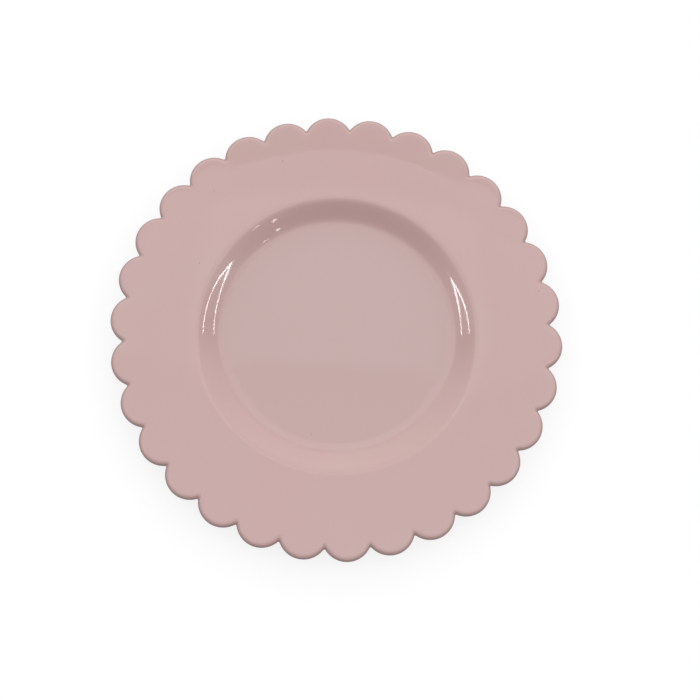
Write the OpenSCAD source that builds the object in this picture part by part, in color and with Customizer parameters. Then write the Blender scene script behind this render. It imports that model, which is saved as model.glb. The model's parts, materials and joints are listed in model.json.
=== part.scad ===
// Scalloped dessert plate: a fired clay body under a coat of coloured glaze.
// The face is a shallow round well inside a wide, almost level rim that ends in a ring of round scallops.
// Lengths are in millimetres. The origin is the middle of the foot's bottom face, with +Z up.

/* [Scalloped edge] */
// Diameter across opposite scallop tips
plate_d = 210; // [192:1:230]
// Number of scallops round the rim
scallops = 30; // [24:1:36]
// Depth of the notches, measured inward from the scallop tips
notch_depth = 6; // [4:0.1:8]
// Length of the groove that runs inward from each notch across the rounded edge
groove_l = 2.2; // [1.6:0.1:3]
// How far the rounded edge of a scallop bows out past its flat faces
edge_bow = 1.9; // [1.2:0.1:2.2]

/* [Well and rim] */
// Diameter of the level floor of the well
floor_d = 101; // [92:1:108]
// Diameter of the well at its shoulder, where the rim starts
well_d = 136; // [128:1:144]
// Depth of the well's floor below the shoulder
well_depth = 7.2; // [5:0.1:9]
// How far the rim climbs from the shoulder to the scallops
rim_rise = 0.8; // [0.4:0.1:2]
// Thickness of the plate through floor, wall and rim, with its glaze
wall_t = 4.8; // [3.6:0.1:5.4]

/* [Foot] */
// Outer diameter of the foot ring, with its glaze
foot_d = 100; // [94:1:112]
// Width of the foot ring, with its glaze
foot_w = 4.6; // [3.6:0.1:6]
// Height of the foot ring below the underside of the floor
foot_h = 3.2; // [2.4:0.1:4.5]
// Chamfer on the two bottom edges of the bare foot
foot_chamfer = 0.6; // [0.3:0.1:0.9]

/* [Glaze] */
// Thickness of the glaze
glaze_t = 0.4; // [0.25:0.05:0.6]
// Height of the bare clay left at the foot, where the glaze was wiped off
bare_h = 1.3; // [1:0.1:1.8]

/* [Hidden] */
// Levels, from the foot's bottom face up
floor_z = foot_h + wall_t;
shoulder_z = floor_z + well_depth;
rim_z = shoulder_z + rim_rise;
edge_mid_z = rim_z - wall_t / 2;

// Radii, from the axis out
floor_r = floor_d / 2;
well_r = well_d / 2;
foot_r = foot_d / 2;
base_r = foot_r - foot_w;
tip_r = plate_d / 2;
notch_r = tip_r - notch_depth;
plain_r = notch_r - groove_l;

// A scallop's circle touches the tip and passes through the notches on both sides of it
pitch = 360 / scallops;
lobe_c = (pow(tip_r, 2) - pow(notch_r, 2)) / (2 * (tip_r - notch_r * cos(pitch / 2)));
lobe_r = tip_r - lobe_c;

// The rim is level from the scallops' inner reach outwards
level_r = lobe_c - lobe_r;

// Radius of the bowed edge, from its bow and the thickness that it spans
edge_r = (pow(edge_bow, 2) + pow(wall_t / 2, 2)) / (2 * edge_bow);

// The two glazes part inside the clay, at these shares of the foot's width and the floor's thickness
parting_r_share = 0.5;
parting_z_share = 0.5;

// Below the face the level border starts farther out, by this share of the wall's own shift
border_shift_share = 0.5;

// Flats along each arc of the wall's section
wall_steps = 10;
$fn = 96;

// Turn and radius of the two equal arcs that join two levels in an S
function s_turn(low, high) = 2 * atan2(high.y - low.y, high.x - low.x);
function s_radius(low, high) = (high.x - low.x) / (2 * sin(s_turn(low, high)));

// How far out an S moves as it moves down by a depth, to keep that distance where it is steepest
function s_shift(low, high, depth) = depth * tan(s_turn(low, high) / 2);

// Points along an S-shaped curve between two level ends, moved down by a depth and out by its shift
function s_curve(low, high, depth, steps) =
    let (
        turn = s_turn(low, high),
        bend_r = s_radius(low, high),
        move = [s_shift(low, high, depth), -depth]
    )
    concat(
        [for (i = [0:steps]) let (a = turn * i / steps)
            low + move + bend_r * [sin(a), 1 - cos(a)]],
        [for (i = [steps - 1:-1:0]) let (a = turn * i / steps)
            high + move - bend_r * [sin(a), 1 - cos(a)]]
    );

// The ends of the wall's S in section
wall_low = [floor_r, floor_z];
wall_high = [well_r, shoulder_z];

// Line through the plate's section from the axis to a reach, at a depth below the glazed face
function dish_line(depth, reach) =
    let (border_r = level_r + border_shift_share * s_shift(wall_low, wall_high, depth))
    concat(
        [[0, floor_z - depth]],
        s_curve(wall_low, wall_high, depth, wall_steps),
        [
            [border_r, rim_z - depth],
            [reach, rim_z - depth]
        ]
    );

// Height of that line at a radius under the floor or under the lower arc of the wall
function low_z(r, depth) =
    let (
        bend_r = s_radius(wall_low, wall_high),
        flat_r = floor_r + s_shift(wall_low, wall_high, depth)
    )
    r <= flat_r
        ? floor_z - depth
        : floor_z - depth + bend_r - sqrt(pow(bend_r, 2) - pow(r - flat_r, 2));

function outside(points, r) = [for (p = points) if (p.x > r) p];
function inside(points, r) = [for (p = points) if (p.x < r) p];
function backwards(points) = [for (i = [len(points) - 1:-1:0]) points[i]];

// Section of the clay: the dish without its glaze, and the bare foot ring
module clay_section() {
    face = dish_line(glaze_t, plain_r - glaze_t);
    back = dish_line(wall_t - glaze_t, plain_r - glaze_t);
    inner = base_r + glaze_t;
    outer = foot_r - glaze_t;
    polygon(concat(
        face,
        backwards(outside(back, outer)),
        [
            [outer, low_z(outer, wall_t - glaze_t)],
            [outer, foot_chamfer],
            [outer - foot_chamfer, 0],
            [inner + foot_chamfer, 0],
            [inner, foot_chamfer],
            [inner, low_z(inner, wall_t - glaze_t)]
        ],
        backwards(inside(back, inner))
    ));
}

// Section of the dish with its glaze, from the face round to the foot's bare line, closed inside the clay
module coated_section() {
    parting_r = foot_r - parting_r_share * foot_w;
    parting_z = floor_z - parting_z_share * wall_t;
    polygon(concat(
        dish_line(0, plain_r),
        backwards(outside(dish_line(wall_t, plain_r), foot_r)),
        [
            [foot_r, low_z(foot_r, wall_t)],
            [foot_r, bare_h],
            [parting_r, bare_h],
            [parting_r, parting_z],
            [0, parting_z]
        ]
    ));
}

// Section of the glaze inside the foot ring, down the ring's inner side to its bare line
module base_section() {
    inner = base_r + glaze_t;
    polygon(concat(
        inside(dish_line(wall_t, plain_r), base_r),
        [
            [base_r, low_z(base_r, wall_t)],
            [base_r, bare_h],
            [inner, bare_h],
            [inner, low_z(inner, wall_t - glaze_t)]
        ],
        backwards(inside(dish_line(wall_t - glaze_t, plain_r), inner))
    ));
}

// Section of one scallop from its own axis to its bowed edge, less a skin all round
module scallop_section(skin) {
    intersection() {
        union() {
            translate([0, rim_z - wall_t])
                square([lobe_r - edge_r, wall_t]);
            translate([lobe_r - edge_r, edge_mid_z])
                circle(edge_r - skin);
        }
        translate([0, rim_z - wall_t + skin])
            square([lobe_r, wall_t - 2 * skin]);
    }
}

// The ring of scallops, less a skin all round
module scallop_ring(skin) {
    for (i = [0:scallops - 1])
        rotate(i * pitch)
            translate([lobe_c, 0])
                rotate_extrude()
                    scallop_section(skin);
}

module clay_solid() {
    rotate_extrude()
        clay_section();
    scallop_ring(glaze_t);
}

// Fired clay: floor, wall, scalloped rim and foot ring in one piece
module clay_body() {
    color([0.87, 0.82, 0.75])
        clay_solid();
}

// Glaze over the face, the edge and the underside, down to the bare foot
module glaze_coat() {
    color([0.79, 0.67, 0.655])
        difference() {
            union() {
                rotate_extrude()
                    coated_section();
                scallop_ring(0);
            }
            clay_solid();
        }
}

// Glaze inside the foot ring, cut off from the rest by the bare foot
module glaze_base() {
    color([0.77, 0.65, 0.635])
        rotate_extrude()
            base_section();
}

clay_body();
glaze_coat();
glaze_base();
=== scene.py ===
"""Looks of a scalloped dessert plate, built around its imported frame.

The plate is three bodies of material: the fired clay, the glaze that covers it and the glaze inside the
foot ring. Each is drawn as a section with a pen and turned about the plate's axis, and the two that reach
the rim are pressed into scallops.
"""

import json
import logging
import math
from dataclasses import dataclass
from enum import Enum
from functools import lru_cache
from typing import Any, Mapping, Optional, Sequence, Tuple, Union

import bmesh
import bpy
from mathutils import Matrix, Vector


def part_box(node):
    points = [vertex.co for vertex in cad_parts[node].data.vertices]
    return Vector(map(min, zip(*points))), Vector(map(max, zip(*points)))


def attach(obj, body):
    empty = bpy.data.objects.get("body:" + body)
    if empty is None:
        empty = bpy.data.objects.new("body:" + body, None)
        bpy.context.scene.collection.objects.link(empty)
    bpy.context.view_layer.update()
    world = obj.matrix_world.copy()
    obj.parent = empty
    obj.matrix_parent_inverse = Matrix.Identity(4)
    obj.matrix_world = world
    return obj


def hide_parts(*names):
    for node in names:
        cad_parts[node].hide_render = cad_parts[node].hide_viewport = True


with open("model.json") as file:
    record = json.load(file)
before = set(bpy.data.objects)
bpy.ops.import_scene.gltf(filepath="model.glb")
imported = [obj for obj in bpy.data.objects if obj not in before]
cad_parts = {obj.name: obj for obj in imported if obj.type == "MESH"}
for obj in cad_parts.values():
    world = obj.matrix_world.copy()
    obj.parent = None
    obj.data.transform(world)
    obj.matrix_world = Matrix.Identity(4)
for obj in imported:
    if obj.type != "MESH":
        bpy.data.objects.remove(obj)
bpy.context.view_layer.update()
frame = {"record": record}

LOG = logging.getLogger("plate")
MM = 0.001
EDGE_SHARE = "edge_share"
MERGE_GAP = 1e-6
HALVINGS = 40
DECIMALS = 9
NOISE_MIDDLE = 0.5
RAMP_MIDDLE = 0.5
Point = Tuple[float, float]
Stops = Tuple[Point, ...]
Bend = Tuple[float, float, float]
Colour = Tuple[float, float, float, float]


class Slot(Enum):
    """Material slots of the record, named like the pieces' two finishes."""

    GLAZE = "pink_glaze"
    CLAY = "bare_clay"


class Wire:
    """One output of a node, with arithmetic that adds Math nodes."""

    def __init__(self, bench: "FinishBench", socket: Optional[bpy.types.NodeSocket]) -> None:
        """Keep the socket and the bench that its node lies on."""
        self.bench = bench
        self.socket = socket

    def math(self, operation: str, first: "Feed", second: "Feed") -> "Wire":
        """Add one Math node.

        Args:
            operation: Name of the Math node's operation.
            first: First value.
            second: Second value.

        Returns:
            The node's result.
        """
        return self.bench.node("ShaderNodeMath", {"operation": operation}, {0: first, 1: second})

    def __add__(self, other: "Feed") -> "Wire":
        """Sum of two values."""
        return self.math("ADD", self, other)

    __radd__ = __add__

    def __sub__(self, other: "Feed") -> "Wire":
        """This value less another."""
        return self.math("SUBTRACT", self, other)

    def __rsub__(self, other: "Feed") -> "Wire":
        """Another value less this one."""
        return self.math("SUBTRACT", other, self)

    def __mul__(self, other: "Feed") -> "Wire":
        """Product of two values."""
        return self.math("MULTIPLY", self, other)

    __rmul__ = __mul__

    def at_least(self, other: "Feed") -> "Wire":
        """The larger of two values."""
        return self.math("MAXIMUM", self, other)


Feed = Union[Wire, float, Sequence[float]]


class FinishBench:
    """Lays out the nodes of one finish."""

    def __init__(self, tree: bpy.types.NodeTree) -> None:
        """Clear the tree for new nodes."""
        self.tree = tree
        tree.nodes.clear()

    @classmethod
    def for_material(cls, name: str) -> Tuple["FinishBench", bpy.types.Material]:
        """Start a new material.

        Args:
            name: The material's name.

        Returns:
            The bench with its empty tree, and the material.
        """
        material = bpy.data.materials.new(name)
        material.use_nodes = True
        return cls(material.node_tree), material

    def node(
        self,
        kind: str,
        settings: Optional[Mapping[str, Any]] = None,
        inputs: Optional[Mapping[Union[str, int], Feed]] = None,
        output: Union[str, int] = 0,
    ) -> Wire:
        """Add one node.

        Args:
            kind: The node's type.
            settings: The node's own settings, set first. "stops" gives a ramp's positions and grey levels.
            inputs: Values or wires by the name or number of their socket.
            output: Name or number of the output that is wanted.

        Returns:
            That output.
        """
        made = self.tree.nodes.new(kind)
        for name, value in (settings or {}).items():
            if name == "stops":
                self._set_stops(made.color_ramp, value)
            else:
                setattr(made, name, value)
        for name, value in (inputs or {}).items():
            socket = made.inputs[name]
            if isinstance(value, Wire):
                self.tree.links.new(value.socket, socket)
            else:
                socket.default_value = value
        return Wire(self, made.outputs[output] if len(made.outputs) else None)

    @staticmethod
    def _set_stops(ramp: bpy.types.ColorRamp, stops: Sequence[Point]) -> None:
        """Give a grey ramp its stops.

        Args:
            ramp: The ramp, which has two stops to start with.
            stops: Positions and grey levels, two or more.
        """
        for index, (position, grey) in enumerate(stops):
            ready = index < len(ramp.elements)
            stop = ramp.elements[index] if ready else ramp.elements.new(position)
            stop.position = position
            stop.color = (grey, grey, grey, 1.0)

    def place(self) -> Wire:
        """Object coordinates of the point being shaded."""
        return self.node("ShaderNodeTexCoord", output="Object")

    def clouds(self, size: float, detail: float, roughness: float = 0.5) -> Wire:
        """Soft clouds from 0 to 1.

        Args:
            size: Size of a cloud in metres.
            detail: Number of finer layers.
            roughness: Strength of each finer layer.

        Returns:
            The clouds' value.
        """
        inputs = {"Vector": self.place(), "Scale": 1.0 / size, "Detail": detail, "Roughness": roughness}
        return self.node("ShaderNodeTexNoise", inputs=inputs)

    def ramp(self, value: Wire, stops: Sequence[Point]) -> Wire:
        """A value led through a grey ramp.

        Args:
            value: The value to lead through.
            stops: Positions and grey levels.

        Returns:
            The grey level.
        """
        return self.node("ShaderNodeValToRGB", {"stops": stops}, {"Fac": value})

    def blend(self, share: Feed, first: Feed, second: Feed) -> Wire:
        """Mix two colours.

        Args:
            share: Share of the second colour.
            first: First colour.
            second: Second colour.

        Returns:
            The mixed colour.
        """
        settings = {"data_type": "RGBA", "clamp_factor": True}
        return self.node("ShaderNodeMix", settings, {0: share, 6: first, 7: second}, output=2)

    def relief(self, height: Wire, depth: float) -> Wire:
        """A surface's small bumps.

        Args:
            height: Height from 0 to 1.
            depth: Height in metres that 1 stands for.

        Returns:
            The bent normal.
        """
        return self.node("ShaderNodeBump", inputs={"Strength": 1.0, "Distance": depth, "Height": height})

    def surface(self, shader: Wire) -> None:
        """Lead a shader to the material's output."""
        self.node("ShaderNodeOutputMaterial", inputs={"Surface": shader})


@dataclass(frozen=True)
class PinkGlaze:
    """Glossy dusty-pink glaze, slightly clouded, with a few dark specks.

    On the rounded edge it is less glossy and first paler, partly from thinner glaze and partly as a painted
    highlight; farthest out it is darker, which is painted shade.
    """

    name: str = "pink_glaze"
    pink: Colour = (0.583, 0.380, 0.370, 1.0)
    warm: Colour = (0.577, 0.390, 0.370, 1.0)
    pool: Colour = (0.551, 0.381, 0.366, 1.0)
    # Paler edge colour: partly thinner glaze, partly a painted highlight band
    thin_glaze_and_sheen: Colour = (0.640, 0.455, 0.425, 1.0)
    # Painted shade for the outermost rounded edge
    painted_edge_shade: Colour = (0.390, 0.275, 0.275, 1.0)
    speck: Colour = (0.200, 0.120, 0.110, 1.0)
    refraction: float = 1.6
    edge_refraction: float = 1.12
    edge_gloss: float = 0.3
    gloss_low: float = 0.03
    gloss_span: float = 0.04
    cloud_size: float = 38.0 * MM
    cloud_detail: float = 3.0
    cloud_stops: Stops = ((0.35, 0.0), (0.65, 1.0))
    grain_size: float = 1.6 * MM
    grain_detail: float = 3.0
    grain_roughness: float = 0.6
    grain_share: float = 0.16
    gloss_size: float = 9.0 * MM
    gloss_detail: float = 2.0
    wave_size: float = 22.0 * MM
    wave_detail: float = 1.0
    wave_height: float = 0.03 * MM
    thin_and_sheen_share: float = 0.4
    thin_and_sheen_stops: Stops = ((0.0, 0.0), (0.45, 1.0), (0.9, 0.0))
    satin_stops: Stops = ((0.3, 0.0), (0.6, 1.0))
    painted_edge_shade_stops: Stops = ((0.45, 0.0), (0.8, 0.6))
    pool_r: float = 52.0 * MM
    pool_stops: Stops = ((0.46, 1.0), (0.54, 0.0))
    speck_r: float = 0.30 * MM
    speck_stops: Stops = ((0.4, 0.8), (1.0, 0.0))
    speck_places: Tuple[Point, ...] = (
        (-31.0 * MM, 80.9 * MM),
        (-61.9 * MM, 63.9 * MM),
        (-66.1 * MM, 28.6 * MM),
        (92.8 * MM, 25.7 * MM),
        (-9.2 * MM, -47.0 * MM),
    )

    def make(self) -> bpy.types.Material:
        """Lay out the glaze.

        Returns:
            The material.
        """
        bench, material = FinishBench.for_material(self.name)
        clouds = bench.ramp(bench.clouds(self.cloud_size, self.cloud_detail), self.cloud_stops)
        grain = bench.clouds(self.grain_size, self.grain_detail, self.grain_roughness) - NOISE_MIDDLE
        edge = bench.node("ShaderNodeAttribute", {"attribute_name": EDGE_SHARE}, output="Fac")
        thinness_and_sheen = bench.ramp(edge, self.thin_and_sheen_stops)
        colour = bench.blend(clouds, self.pink, self.warm)
        pool = bench.ramp(self._gap(bench, 0.0, 0.0) * (RAMP_MIDDLE / self.pool_r), self.pool_stops)
        colour = bench.blend(pool, colour, self.pool)
        # Paler colour across the rounded edge: partly glaze that thins there, partly a painted highlight
        # band
        colour = bench.blend(thinness_and_sheen * self.thin_and_sheen_share + grain * self.grain_share, colour, self.thin_glaze_and_sheen)
        # Darker colour farthest out on the rounded edge is painted shade, standing in for the edge's shaded
        # outline
        colour = bench.blend(bench.ramp(edge, self.painted_edge_shade_stops), colour, self.painted_edge_shade)
        colour = bench.blend(self._specks(bench), colour, self.speck)
        gloss = bench.clouds(self.gloss_size, self.gloss_detail) * self.gloss_span + self.gloss_low
        waves = bench.relief(bench.clouds(self.wave_size, self.wave_detail), self.wave_height)
        look = {"Base Color": colour, "Roughness": gloss, "IOR": self.refraction, "Normal": waves}
        face = bench.node("ShaderNodeBsdfPrincipled", inputs=look)
        look = {"Base Color": colour, "Roughness": self.edge_gloss, "IOR": self.edge_refraction}
        rim = bench.node("ShaderNodeBsdfPrincipled", inputs=look)
        satin = bench.ramp(edge, self.satin_stops)
        bench.surface(bench.node("ShaderNodeMixShader", inputs={0: satin, 1: face, 2: rim}))
        return material

    def _specks(self, bench: FinishBench) -> Feed:
        """Mask of the few dark specks on the face.

        Args:
            bench: The glaze's bench.

        Returns:
            The specks' strength, 0 outside them.
        """
        mask: Feed = 0.0
        for x, y in self.speck_places:
            gap = self._gap(bench, x, y) * (1.0 / self.speck_r)
            mask = bench.ramp(gap, self.speck_stops).at_least(mask)
        return mask

    @staticmethod
    def _gap(bench: FinishBench, x: float, y: float) -> Wire:
        """Distance from an upright line.

        Args:
            bench: The glaze's bench.
            x: The line's place along X.
            y: The line's place along Y.

        Returns:
            The distance in metres.
        """
        plan = {0: bench.place(), 1: (1.0, 1.0, 0.0)}
        flat = bench.node("ShaderNodeVectorMath", {"operation": "MULTIPLY"}, plan)
        ends = {0: flat, 1: (x, y, 0.0)}
        return bench.node("ShaderNodeVectorMath", {"operation": "DISTANCE"}, ends, output="Value")


@dataclass(frozen=True)
class BareClay:
    """Unglazed fired clay: matt, warm off-white and grainy."""

    name: str = "bare_clay"
    pale: Colour = (0.700, 0.620, 0.520, 1.0)
    dark: Colour = (0.560, 0.470, 0.370, 1.0)
    grain_size: float = 0.5 * MM
    grain_detail: float = 3.0
    grain_roughness: float = 0.65
    grain_height: float = 0.04 * MM
    grain_share: float = 0.5
    stain_size: float = 12.0 * MM
    stain_detail: float = 3.0
    stain_share: float = 0.4
    matt_low: float = 0.75
    matt_span: float = 0.2

    def make(self) -> bpy.types.Material:
        """Lay out the clay.

        Returns:
            The material.
        """
        bench, material = FinishBench.for_material(self.name)
        grain = bench.clouds(self.grain_size, self.grain_detail, self.grain_roughness)
        stain = bench.clouds(self.stain_size, self.stain_detail)
        colour = bench.blend(grain * self.grain_share + stain * self.stain_share, self.pale, self.dark)
        matt = grain * self.matt_span + self.matt_low
        look = {"Base Color": colour, "Roughness": matt, "Normal": bench.relief(grain, self.grain_height)}
        bench.surface(bench.node("ShaderNodeBsdfPrincipled", inputs=look))
        return material


@dataclass(frozen=True)
class PaleFloor:
    """Plain white floor that keeps the plate's shadow."""

    name: str = "pale_floor"
    half_side: float = 30.0
    paint: Colour = (0.25, 0.25, 0.25, 1.0)
    seen_paint: Colour = (0.95, 0.95, 0.95, 1.0)
    glow: float = 1.06
    glow_share: float = 0.74

    def lay(self) -> None:
        """Lay the floor under the plate's foot."""
        mesh = bpy.data.meshes.new(self.name)
        grid = bmesh.new()
        bmesh.ops.create_grid(grid, x_segments=1, y_segments=1, size=self.half_side)
        grid.to_mesh(mesh)
        grid.free()
        mesh.materials.append(self._paint())
        floor = bpy.data.objects.new(self.name, mesh)
        bpy.context.scene.collection.objects.link(floor)

    def _paint(self) -> bpy.types.Material:
        """Paint that is white to the camera and in reflections, and plain paint to soft light.

        Returns:
            The material.
        """
        bench, material = FinishBench.for_material(self.name)
        plain = bench.node("ShaderNodeBsdfDiffuse", inputs={"Color": self.paint})
        seen = bench.node("ShaderNodeBsdfDiffuse", inputs={"Color": self.seen_paint})
        glow = bench.node("ShaderNodeEmission", inputs={"Strength": self.glow})
        white = bench.node("ShaderNodeMixShader", inputs={0: self.glow_share, 1: seen, 2: glow})
        looked_at: Feed = 0.0
        for ray in ("Is Camera Ray", "Is Glossy Ray", "Is Transmission Ray"):
            looked_at = bench.node("ShaderNodeLightPath", output=ray).at_least(looked_at)
        bench.surface(bench.node("ShaderNodeMixShader", inputs={0: looked_at, 1: plain, 2: white}))
        return material


@dataclass(frozen=True)
class PlateSizes:
    """Sizes of the plate in metres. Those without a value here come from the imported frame.

    Each of the wall's bends, from the floor to the rim, has its radius and the tilt in degrees at its end.
    """

    tip_r: float
    rim_z: float
    floor_z: float
    base_z: float
    bare_z: float
    glaze_t: float
    foot_r: float
    base_r: float
    floor_r: float = 50.2 * MM
    level_r: float = 88.0 * MM
    rim_ease: float = 4.0 * MM
    wall_bends: Tuple[Point, ...] = (
        (10.0 * MM, 3.5),
        (150.0 * MM, 4.5),
        (6.9 * MM, 36.0),
        (48.2 * MM, 40.5),
        (48.2 * MM, 36.0),
        (6.3 * MM, 1.63),
    )
    foot_round: float = 0.6 * MM
    foot_fillet: float = 1.0 * MM
    bead: float = 0.25 * MM
    border_shift: float = 0.5

    @classmethod
    def from_frame(cls, record: Mapping[str, Any]) -> "PlateSizes":
        """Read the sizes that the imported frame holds.

        Args:
            record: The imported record.

        Returns:
            The plate's sizes.
        """
        coat_low, coat_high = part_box("glaze_coat")
        clay_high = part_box("clay_body")[1]
        base_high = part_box("glaze_base")[1]
        mounts = {mount["name"]: mount["pos_m"] for mount in record["mounts"]}
        glaze_t = coat_high.z - clay_high.z
        base_r = base_high.x - glaze_t
        return cls(
            tip_r=min(coat_high.x, -coat_low.x),
            rim_z=coat_high.z,
            floor_z=mounts["well_floor"][2],
            base_z=base_high.z - glaze_t,
            bare_z=coat_low.z,
            glaze_t=glaze_t,
            foot_r=2.0 * mounts["foot_ring"][0] - base_r,
            base_r=base_r,
        )

    @property
    def wall_t(self) -> float:
        """Thickness through the floor, with its glaze."""
        return self.floor_z - self.base_z

    @property
    def edge_r(self) -> float:
        """Radius of the fully rounded edge."""
        return self.wall_t / 2.0

    @property
    def bends(self) -> Sequence[Bend]:
        """The wall from the floor to the rim, as radius, first tilt and last tilt of each bend."""
        tilts = [0.0] + [math.radians(tilt) for _, tilt in self.wall_bends]
        return [(radius, *ends) for (radius, _), ends in zip(self.wall_bends, zip(tilts, tilts[1:]))]

    @property
    def steepest(self) -> float:
        """The wall's steepest tilt."""
        return max(last for _, _, last in self.bends)

    @property
    def rim_slope(self) -> float:
        """Angle of the rim's climb from the shoulder to its level border."""
        return self.bends[-1][2]

    @property
    def shoulder(self) -> Point:
        """Radius and height of the shoulder where the rim starts."""
        run = sum(radius * abs(math.sin(last) - math.sin(first)) for radius, first, last in self.bends)
        climb = sum(radius * abs(math.cos(last) - math.cos(first)) for radius, first, last in self.bends)
        return self.floor_r + run, self.floor_z + climb

    @property
    def ease_r(self) -> float:
        """Radius of the gentle arc from the rim's climb to its level border."""
        return self.rim_ease / math.tan(self.rim_slope / 2.0)

    def marks(self, depth: float) -> Tuple[float, float, float]:
        """Where a line at a depth below the glazed face leaves the level.

        Args:
            depth: Depth below the glazed face.

        Returns:
            Radii at the foot of the wall, at the shoulder and at the level border.
        """
        shift = depth * math.tan(self.steepest / 2.0)
        border = self.level_r + self.rim_ease + self.border_shift * shift
        return self.floor_r + shift, self.shoulder[0] + shift, border


class SectionPen:
    """Draws an open section in the plane of X and Z and turns it into a round piece."""

    def __init__(self, radius: float, height: float) -> None:
        """Set the pen down at a radius and a height."""
        self.mesh = bmesh.new()
        self.tip = self.mesh.verts.new((radius, 0.0, height))

    def line(self, radius: float, height: float, steps: int = 1) -> None:
        """Draw a straight line.

        Args:
            radius: Radius of the line's end.
            height: Height of the line's end.
            steps: Number of equal lengths that the line is drawn in.
        """
        move = (Vector((radius, 0.0, height)) - self.tip.co) / steps
        for _ in range(steps):
            drawn = bmesh.ops.extrude_vert_indiv(self.mesh, verts=[self.tip])
            self.tip = drawn["verts"][0]
            bmesh.ops.translate(self.mesh, verts=[self.tip], vec=move)

    def arc(self, centre: Point, angle: float, steps: int) -> None:
        """Draw an arc about a centre.

        Args:
            centre: Radius and height of the arc's centre.
            angle: Angle in radians, positive where a pen above the centre moves outwards.
            steps: Number of equal lengths that the arc is drawn in.
        """
        drawn = bmesh.ops.spin(
            self.mesh,
            geom=[self.tip],
            cent=(centre[0], 0.0, centre[1]),
            axis=(0.0, 1.0, 0.0),
            angle=angle,
            steps=steps,
        )
        self.tip = next(part for part in drawn["geom_last"] if isinstance(part, bmesh.types.BMVert))

    def bend(self, radius: float, first: float, last: float, inward: bool, steps: int) -> None:
        """Draw an arc that leads from one tilt of the face to another.

        Args:
            radius: The arc's radius.
            first: The face's tilt at the pen, rising outwards.
            last: The face's tilt at the arc's end.
            inward: Whether the pen moves towards the axis.
            steps: Number of equal lengths that the arc is drawn in.
        """
        reach = radius if (last > first) != inward else -radius
        place = self.tip.co
        centre = (place.x - reach * math.sin(first), place.z + reach * math.cos(first))
        self.arc(centre, first - last, steps)

    def turn(self, pitch: float, columns: int) -> bmesh.types.BMesh:
        """Turn the section about the plate's axis through one pitch, half to each side of +X.

        Args:
            pitch: Angle of the turn.
            columns: Number of steps in it.

        Returns:
            The mesh of one sector, open at its two sides.
        """
        bmesh.ops.rotate(
            self.mesh,
            verts=self.mesh.verts[:],
            cent=(0.0, 0.0, 0.0),
            matrix=Matrix.Rotation(-pitch / 2.0, 3, "Z"),
        )
        bmesh.ops.spin(
            self.mesh,
            geom=self.mesh.verts[:] + self.mesh.edges[:],
            cent=(0.0, 0.0, 0.0),
            axis=(0.0, 0.0, 1.0),
            angle=pitch,
            steps=columns,
        )
        return self.mesh


def close_round(mesh: bmesh.types.BMesh, count: int) -> bmesh.types.BMesh:
    """Repeat one sector round the axis and join the copies into a closed mesh.

    Args:
        mesh: The sector.
        count: Number of sectors in the round.

    Returns:
        The same mesh, with its faces pointing outwards.
    """
    sector = mesh.verts[:] + mesh.edges[:] + mesh.faces[:]
    for index in range(1, count):
        copy = bmesh.ops.duplicate(mesh, geom=sector)
        bmesh.ops.rotate(
            mesh,
            verts=[part for part in copy["geom"] if isinstance(part, bmesh.types.BMVert)],
            cent=(0.0, 0.0, 0.0),
            matrix=Matrix.Rotation(math.tau * index / count, 3, "Z"),
        )
    bmesh.ops.remove_doubles(mesh, verts=mesh.verts[:], dist=MERGE_GAP)
    bmesh.ops.recalc_face_normals(mesh, faces=mesh.faces[:])
    return mesh


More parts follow.
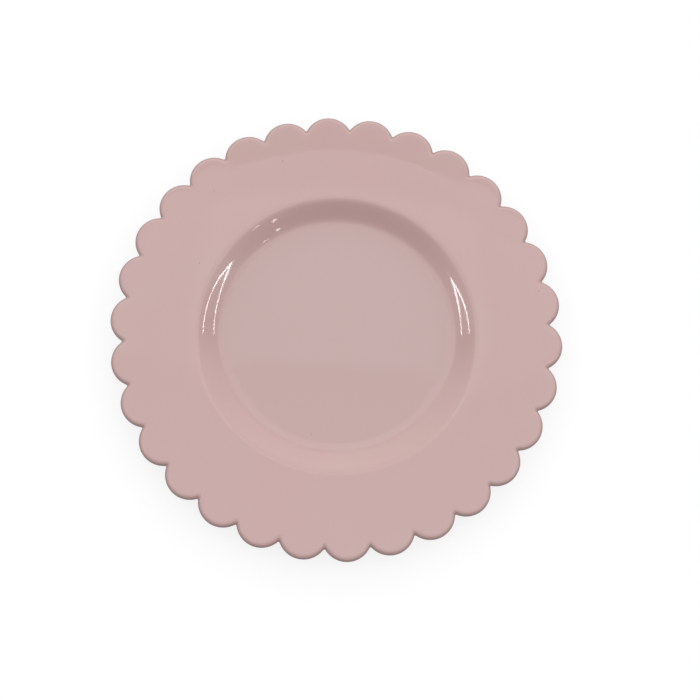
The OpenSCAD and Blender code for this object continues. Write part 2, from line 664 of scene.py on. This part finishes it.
@dataclass(frozen=True)
class ScallopedEdge:
    """Plan of the rim's edge: a ring of round scallops that meet in softened notches."""

    tip_r: float
    edge_r: float
    level_r: float
    count: int = 30
    notch_depth: float = 6.0 * MM
    groove_l: float = 2.8 * MM
    soften: float = 0.9 * MM
    crowding: float = 0.5

    @property
    def pitch(self) -> float:
        """Angle from one scallop to the next."""
        return math.tau / self.count

    @property
    def notch_r(self) -> float:
        """Radius at the bottom of a sharp notch."""
        return self.tip_r - self.notch_depth

    @property
    def lobe_c(self) -> float:
        """Radius of the circle that the scallops' own centres lie on."""
        chord = self.tip_r - self.notch_r * math.cos(self.pitch / 2.0)
        return (self.tip_r**2 - self.notch_r**2) / (2.0 * chord)

    def _in_lobe(self, radius: float, angle: float) -> float:
        """Depth of a point inside one scallop, with its angle from the scallop's middle."""
        across = radius * math.sin(angle)
        along = radius * math.cos(angle) - self.lobe_c
        return self.tip_r - self.lobe_c - math.hypot(along, across)

    def _joined(self, first: float, second: float) -> float:
        """The larger of two depths, with the crease between them softened."""
        near = max(self.soften - abs(first - second), 0.0)
        return max(first, second) + near * near / (4.0 * self.soften)

    def depth(self, radius: float, angle: float) -> float:
        """How deep a point lies inside the scalloped edge.

        Args:
            radius: The point's distance from the axis.
            angle: The point's angle from the middle of a scallop, from 0 to half a pitch.

        Returns:
            The depth, which is negative outside the edge.
        """
        lobes = self._joined(self._in_lobe(radius, angle), self._in_lobe(radius, self.pitch - angle))
        disc = self.notch_r - self.groove_l + self.edge_r - radius
        return self._joined(lobes, disc)

    @lru_cache(maxsize=None)
    def reach(self, angle: float, inset: float) -> float:
        """Radius at which a line from the axis lies at an inset from the scalloped edge.

        Args:
            angle: The line's angle from the middle of a scallop, from 0 to half a pitch.
            inset: Depth inside the edge.

        Returns:
            The radius.
        """
        low, high = self.level_r, self.tip_r
        for _ in range(HALVINGS):
            middle = (low + high) / 2.0
            if self.depth(middle, angle) > inset:
                low = middle
            else:
                high = middle
        return low

    def press(self, mesh: bmesh.types.BMesh) -> None:
        """Press a sector into a scallop, from its level border outwards.

        Args:
            mesh: A sector turned about the axis through one pitch, with its plain edge at the tip.
        """
        edge_share = mesh.verts.layers.float.new(EDGE_SHARE)
        round_start = self.tip_r - self.edge_r
        flat_inset = round(self.edge_r, DECIMALS)
        for vert in mesh.verts:
            radius = math.hypot(vert.co.x, vert.co.y)
            share = math.atan2(vert.co.y, vert.co.x) / self.pitch
            # Columns crowd towards the notches, where the edge turns most
            share += self.crowding * math.sin(math.tau * share) / math.tau
            angle = round(abs(share) * self.pitch, DECIMALS)
            if radius > round_start:
                inset = round(max(self.tip_r - radius, 0.0), DECIMALS)
                radius = self.reach(angle, inset)
                vert[edge_share] = 1.0 - inset / self.edge_r
            elif radius > self.level_r:
                way = (radius - self.level_r) / (round_start - self.level_r)
                radius = self.level_r + way * (self.reach(angle, flat_inset) - self.level_r)
            vert.co.x = radius * math.cos(share * self.pitch)
            vert.co.y = radius * math.sin(share * self.pitch)


@dataclass(frozen=True)
class Fineness:
    """Number of lengths that each stretch of a section is drawn in.

    A bend has its number where it turns through the whole wall turn, and a share of it where it turns less.
    """

    floor: int
    bend: int
    rim: int
    edge: int
    wall_turn: float = math.radians(35.0)

    def lengths(self, turn: float) -> int:
        """Number of lengths for a bend.

        Args:
            turn: Angle that the bend turns through.

        Returns:
            The number, at least 1.
        """
        return max(1, round(self.bend * abs(turn) / self.wall_turn))


SEEN = Fineness(floor=4, bend=12, rim=4, edge=18)
UNDER = Fineness(floor=1, bend=7, rim=2, edge=18)
HIDDEN = Fineness(floor=1, bend=2, rim=1, edge=6)


@dataclass
class Plate:
    """The plate's three bodies of material."""

    sizes: PlateSizes
    edge: ScallopedEdge
    columns: int = 24
    foot_columns: int = 12
    side_steps: int = 2
    corner_steps: int = 5
    bead_steps: int = 3

    def build(self, glaze: bpy.types.Material, clay: bpy.types.Material) -> Sequence[bpy.types.Object]:
        """Build and dress every piece.

        Args:
            glaze: The glaze's material.
            clay: The clay's material.

        Returns:
            The pieces, from the clay outwards.
        """
        return (
            self._dress("plate_clay", self.clay_mesh(), clay, Slot.CLAY, "clay_body"),
            self._dress("plate_glaze", self.coat_mesh(), glaze, Slot.GLAZE, "glaze_coat"),
            self._dress("foot_glaze", self.base_mesh(), glaze, Slot.GLAZE, "glaze_base"),
        )

    def coat_mesh(self) -> bmesh.types.BMesh:
        """The glaze over the face, the edge and the underside, as a closed skin.

        Returns:
            The mesh.
        """
        size = self.sizes
        corner = (size.foot_r + size.foot_fillet, size.base_z - size.foot_fillet)
        pen = SectionPen(0.0, size.floor_z)
        self._draw_out(pen, 0.0, SEEN)
        pen.arc((size.tip_r - size.edge_r, size.rim_z - size.edge_r), math.pi, SEEN.edge)
        self._draw_in(pen, size.wall_t, UNDER)
        pen.line(corner[0], size.base_z)
        pen.arc(corner, -math.pi / 2.0, UNDER.bend)
        pen.line(size.foot_r, size.bare_z + size.bead, self.side_steps)
        pen.arc((size.foot_r - size.bead, size.bare_z + size.bead), math.pi / 2.0, self.bead_steps)
        pen.line(size.foot_r - size.glaze_t, size.bare_z)
        self._draw_skin(pen)
        return self._pressed(pen)

    def clay_mesh(self) -> bmesh.types.BMesh:
        """The fired clay under the glaze, with its bare foot ring.

        Returns:
            The mesh.
        """
        size = self.sizes
        outer = size.foot_r - size.glaze_t
        inner = size.base_r + size.glaze_t
        corner = size.foot_round
        pen = SectionPen(0.0, size.base_z + size.glaze_t)
        self._draw_base(pen, size.glaze_t)
        pen.line(inner, corner, self.side_steps)
        pen.arc((inner + corner, corner), -math.pi / 2.0, self.corner_steps)
        pen.line(outer - corner, 0.0, self.side_steps)
        pen.arc((outer - corner, corner), -math.pi / 2.0, self.corner_steps)
        pen.line(outer, size.bare_z, self.side_steps)
        self._draw_skin(pen)
        return self._pressed(pen)

    def base_mesh(self) -> bmesh.types.BMesh:
        """The glaze inside the foot ring, as a closed skin.

        Returns:
            The mesh.
        """
        size = self.sizes
        pen = SectionPen(0.0, size.base_z)
        self._draw_base(pen, 0.0)
        fillet = size.foot_fillet
        pen.line(size.base_r, size.bare_z + size.bead, self.side_steps)
        pen.arc((size.base_r + size.bead, size.bare_z + size.bead), -math.pi / 2.0, self.bead_steps)
        pen.line(size.base_r + size.glaze_t, size.bare_z)
        pen.line(size.base_r + size.glaze_t, size.base_z - fillet)
        pen.arc((size.base_r - fillet, size.base_z - fillet), -math.pi / 2.0, SEEN.rim)
        pen.line(0.0, size.base_z + size.glaze_t, SEEN.floor)
        return close_round(pen.turn(self.edge.pitch, self.foot_columns), self.edge.count)

    def _draw_out(self, pen: SectionPen, depth: float, fine: Fineness) -> None:
        """Draw a line through the dish outwards, from the floor to the start of the rounded edge.

        Args:
            pen: The pen, on the floor's line.
            depth: Depth of the line below the glazed face.
            fine: Number of lengths for each stretch.
        """
        size = self.sizes
        slope, ease_r = size.rim_slope, size.ease_r
        low_r, _, border_r = size.marks(depth)
        level = size.rim_z - depth
        pen.line(low_r, size.floor_z - depth, fine.floor)
        for radius, first, last in size.bends:
            pen.bend(radius, first, last, False, fine.lengths(last - first))
        pen.line(border_r - ease_r * math.sin(slope), level - ease_r * (1.0 - math.cos(slope)), fine.rim)
        pen.arc((border_r, level - ease_r), slope, fine.rim)
        pen.line(size.tip_r - size.edge_r, level, fine.rim)

    def _draw_in(self, pen: SectionPen, depth: float, fine: Fineness) -> None:
        """Draw a line through the dish inwards, from the start of the rounded edge to the floor.

        Args:
            pen: The pen, at the start of the rounded edge.
            depth: Depth of the line below the glazed face.
            fine: Number of lengths for each stretch.
        """
        size = self.sizes
        _, high_r, border_r = size.marks(depth)
        level = size.rim_z - depth
        pen.line(border_r, level, fine.rim)
        pen.arc((border_r, level - size.ease_r), -size.rim_slope, fine.rim)
        pen.line(high_r, size.shoulder[1] - depth, fine.rim)
        for radius, first, last in reversed(size.bends):
            pen.bend(radius, last, first, True, fine.lengths(last - first))

    def _draw_skin(self, pen: SectionPen) -> None:
        """Draw where clay and glaze meet, from the foot's outer side round the edge to the axis.

        Args:
            pen: The pen, at the glaze's lower end on the foot.
        """
        size = self.sizes
        fillet = size.foot_fillet
        corner = (size.foot_r + fillet, size.base_z - fillet)
        pen.line(size.foot_r - size.glaze_t, corner[1])
        pen.arc(corner, math.pi / 2.0, HIDDEN.bend)
        self._draw_out(pen, size.wall_t - size.glaze_t, HIDDEN)
        pen.arc((size.tip_r - size.edge_r, size.rim_z - size.edge_r), -math.pi, HIDDEN.edge)
        self._draw_in(pen, size.glaze_t, HIDDEN)
        pen.line(0.0, size.floor_z - size.glaze_t, HIDDEN.floor)

    def _draw_base(self, pen: SectionPen, lift: float) -> None:
        """Draw the base inside the foot ring, from the axis to the ring's inner side.

        Args:
            pen: The pen, on the axis.
            lift: Height of the line above the glazed base.
        """
        size = self.sizes
        fillet = size.foot_fillet
        pen.line(size.base_r - fillet, size.base_z + lift, SEEN.floor)
        pen.arc((size.base_r - fillet, size.base_z - fillet), math.pi / 2.0, SEEN.rim)

    def _pressed(self, pen: SectionPen) -> bmesh.types.BMesh:
        """Turn a section into a round piece with a scalloped edge.

        Args:
            pen: The pen, with its section drawn.

        Returns:
            The closed mesh.
        """
        mesh = pen.turn(self.edge.pitch, self.columns)
        self.edge.press(mesh)
        return close_round(mesh, self.edge.count)

    @staticmethod
    def _dress(
        name: str, mesh: bmesh.types.BMesh, finish: bpy.types.Material, slot: Slot, node: str
    ) -> bpy.types.Object:
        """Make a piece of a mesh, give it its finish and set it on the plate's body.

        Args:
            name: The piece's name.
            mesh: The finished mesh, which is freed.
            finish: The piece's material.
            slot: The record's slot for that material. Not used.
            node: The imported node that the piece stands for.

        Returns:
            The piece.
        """
        data = bpy.data.meshes.new(name)
        mesh.to_mesh(data)
        mesh.free()
        data.shade_smooth()
        data.materials.append(finish)
        piece = bpy.data.objects.new(name, data)
        bpy.context.scene.collection.objects.link(piece)
        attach(piece, "root")
        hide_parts(node)
        return piece


def facing(back: Vector, along: Vector) -> Matrix:
    """Turn of a lamp or camera that looks away from a direction.

    Args:
        back: Direction from what is looked at to the looker.
        along: Direction that the looker's own X axis follows as nearly as it can.

    Returns:
        The turn as a matrix of three columns.
    """
    back = back.normalized()
    right = (along - along.dot(back) * back).normalized()
    return Matrix((right, back.cross(right), back)).transposed()


@dataclass(frozen=True)
class Softbox:
    """Rectangular lamp that lights the plate and shows in its gloss, but not to the camera."""

    name: str
    centre: Tuple[float, float, float]
    along: Tuple[float, float, float]
    length: float
    width: float
    radiance: float
    straight_down: bool = False

    def hang(self) -> None:
        """Hang the lamp, facing the plate."""
        lamp = bpy.data.lights.new(self.name, "AREA")
        lamp.shape = "RECTANGLE"
        lamp.size = self.length
        lamp.size_y = self.width
        lamp.energy = self.radiance * math.pi * self.length * self.width
        box = bpy.data.objects.new(self.name, lamp)
        back = Vector((0.0, 0.0, 1.0)) if self.straight_down else Vector(self.centre)
        box.matrix_world = Matrix.Translation(self.centre) @ facing(back, Vector(self.along)).to_4x4()
        box.visible_camera = False
        bpy.context.scene.collection.objects.link(box)


LEFT_TO_RIGHT = (1.0, 0.0, 0.0)
LAMPS = (
    Softbox(
        name="overhead_softbox",
        centre=(0.0, 0.09, 1.0),
        along=LEFT_TO_RIGHT,
        length=1.6,
        width=0.64,
        radiance=0.72,
        straight_down=True,
    ),
    Softbox(
        name="rear_softbox",
        centre=(0.0, 0.24, 0.97),
        along=LEFT_TO_RIGHT,
        length=1.6,
        width=0.16,
        radiance=0.18,
        straight_down=True,
    ),
    Softbox(
        name="middle_softbox",
        centre=(0.015, 0.2315, 0.94),
        along=LEFT_TO_RIGHT,
        length=0.242,
        width=0.155,
        radiance=0.22,
        straight_down=True,
    ),
    Softbox(
        name="right_strip",
        centre=(1.02, -0.085, 0.447),
        along=(0.0, 1.0, -0.06),
        length=0.80,
        width=0.018,
        radiance=14.0,
    ),
    Softbox(
        name="left_strip",
        centre=(-1.02, -0.185, 0.477),
        along=(0.0, 1.0, -0.12),
        length=0.74,
        width=0.018,
        radiance=14.0,
    ),
    Softbox(
        name="low_spot",
        centre=(0.583, -0.678, 0.559),
        along=LEFT_TO_RIGHT,
        length=0.045,
        width=0.045,
        radiance=7.0,
    ),
    Softbox(
        name="high_spot",
        centre=(0.632, -0.503, 0.689),
        along=LEFT_TO_RIGHT,
        length=0.06,
        width=0.06,
        radiance=10.0,
    ),
)


@dataclass(frozen=True)
class Studio:
    """Soft light around the plate, darker in front than behind, and the lamps that hang in it."""

    lamps: Tuple[Softbox, ...] = LAMPS
    strength: float = 1.275
    greys: Stops = ((0.0, 0.08), (0.4, 0.72), (0.6, 0.31), (0.75, 0.83), (1.0, 1.0))

    def light(self) -> None:
        """Set the surrounding light and hang the lamps."""
        world = bpy.data.worlds.new("studio")
        world.use_nodes = True
        bpy.context.scene.world = world
        bench = FinishBench(world.node_tree)
        toward = bench.node("ShaderNodeTexCoord", output="Generated")
        back = bench.node("ShaderNodeSeparateXYZ", inputs={0: toward}, output="Y")
        # The ramp's ends stand for straight in front and straight behind
        grey = bench.ramp(back * RAMP_MIDDLE + RAMP_MIDDLE, self.greys)
        glow = bench.node("ShaderNodeBackground", inputs={"Color": grey, "Strength": self.strength})
        bench.node("ShaderNodeOutputWorld", inputs={"Surface": glow})
        for lamp in self.lamps:
            lamp.hang()


@dataclass(frozen=True)
class Viewpoint:
    """Camera that looks down on the plate, with its angles in degrees."""

    azimuth: float = -7.98
    elevation: float = 78.95
    roll: float = 11.48
    distance: float = 600.0 * MM
    target: Tuple[float, float, float] = (6.33 * MM, -7.01 * MM, 10.82 * MM)
    lens: float = 66.34
    sensor: float = 36.0

    def set_up(self) -> None:
        """Set the camera up and make it the scene's own."""
        across, up, tilt = (math.radians(angle) for angle in (self.azimuth, self.elevation, self.roll))
        back = Vector((math.sin(across) * math.cos(up), -math.cos(across) * math.cos(up), math.sin(up)))
        level = Vector((math.cos(across), math.sin(across), 0.0))
        right = Matrix.Rotation(tilt, 3, back) @ level
        data = bpy.data.cameras.new("camera")
        data.lens = self.lens
        data.sensor_width = self.sensor
        camera = bpy.data.objects.new("camera", data)
        place = Vector(self.target) + self.distance * back
        camera.matrix_world = Matrix.Translation(place) @ facing(back, right).to_4x4()
        bpy.context.scene.collection.objects.link(camera)
        bpy.context.scene.camera = camera


def main() -> None:
    """Build the plate, its finishes, the floor, the light and the camera."""
    logging.basicConfig(level=logging.INFO, format="%(message)s")
    bpy.context.scene.view_settings.view_transform = "Standard"
    Viewpoint().set_up()
    Studio().light()
    PaleFloor().lay()
    sizes = PlateSizes.from_frame(frame["record"])
    plate = Plate(sizes, ScallopedEdge(sizes.tip_r, sizes.edge_r, sizes.level_r))
    for piece in plate.build(PinkGlaze().make(), BareClay().make()):
        LOG.info("%s: %d faces", piece.name, len(piece.data.polygons))


if __name__ == "__main__":
    main()
